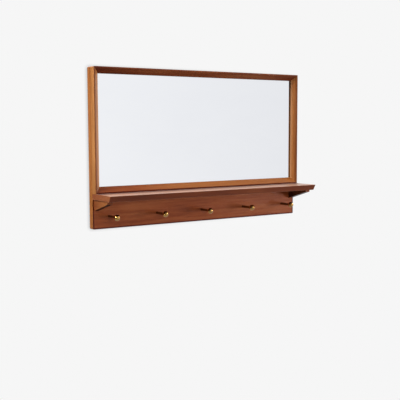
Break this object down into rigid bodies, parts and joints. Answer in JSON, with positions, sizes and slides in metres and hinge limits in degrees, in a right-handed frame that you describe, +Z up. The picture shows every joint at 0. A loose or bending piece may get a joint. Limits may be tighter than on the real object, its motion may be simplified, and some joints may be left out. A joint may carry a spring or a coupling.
{
  "type": "wall mirror with shelf and hooks",
  "caption": "Wall-hung wooden mirror with a mitred bevelled frame, a bracketed shelf under the glass and ball-ended brass pegs on the board below it.",
  "frame": {"origin": "on the wall plane, midway between the two seats that the wall screws rest in", "axes": "+X to the right seen from the front, +Y into the wall, +Z up; the mirror faces -Y"},
  "size_m": [0.813, 0.1459, 0.505],
  "materials": {
    "board_wood": "satin stained",
    "frame_wood": "satin stained",
    "shelf_wood": "satin stained",
    "joint_wood": "plain",
    "mirror": "polished",
    "tape": "foam",
    "brass": "satin",
    "screw_steel": "zinc plated",
    "plate_steel": "zinc plated"
  },
  "bodies": {
    "root": {"back_board": "board_wood", "frame_top_rail": "frame_wood", "frame_bottom_rail": "frame_wood", "frame_left_stile": "frame_wood", "frame_right_stile": "frame_wood", "mitre_splines": "joint_wood", "mirror_glass": "mirror", "mirror_tape": "tape", "shelf": "shelf_wood", "bracket_left": "shelf_wood", "bracket_right": "shelf_wood", "bracket_dowels": "joint_wood", "peg_rod_1": "brass", "peg_rod_2": "brass", "peg_rod_3": "brass", "peg_rod_4": "brass", "peg_rod_5": "brass", "peg_ball_1": "brass", "peg_ball_2": "brass", "peg_ball_3": "brass", "peg_ball_4": "brass", "peg_ball_5": "brass", "peg_screws": "screw_steel", "frame_screws": "screw_steel", "shelf_screws": "screw_steel", "bracket_screws": "screw_steel", "hanger_plate_left": "plate_steel", "hanger_plate_right": "plate_steel", "hanger_screws": "screw_steel"}
  },
  "joints": []
}
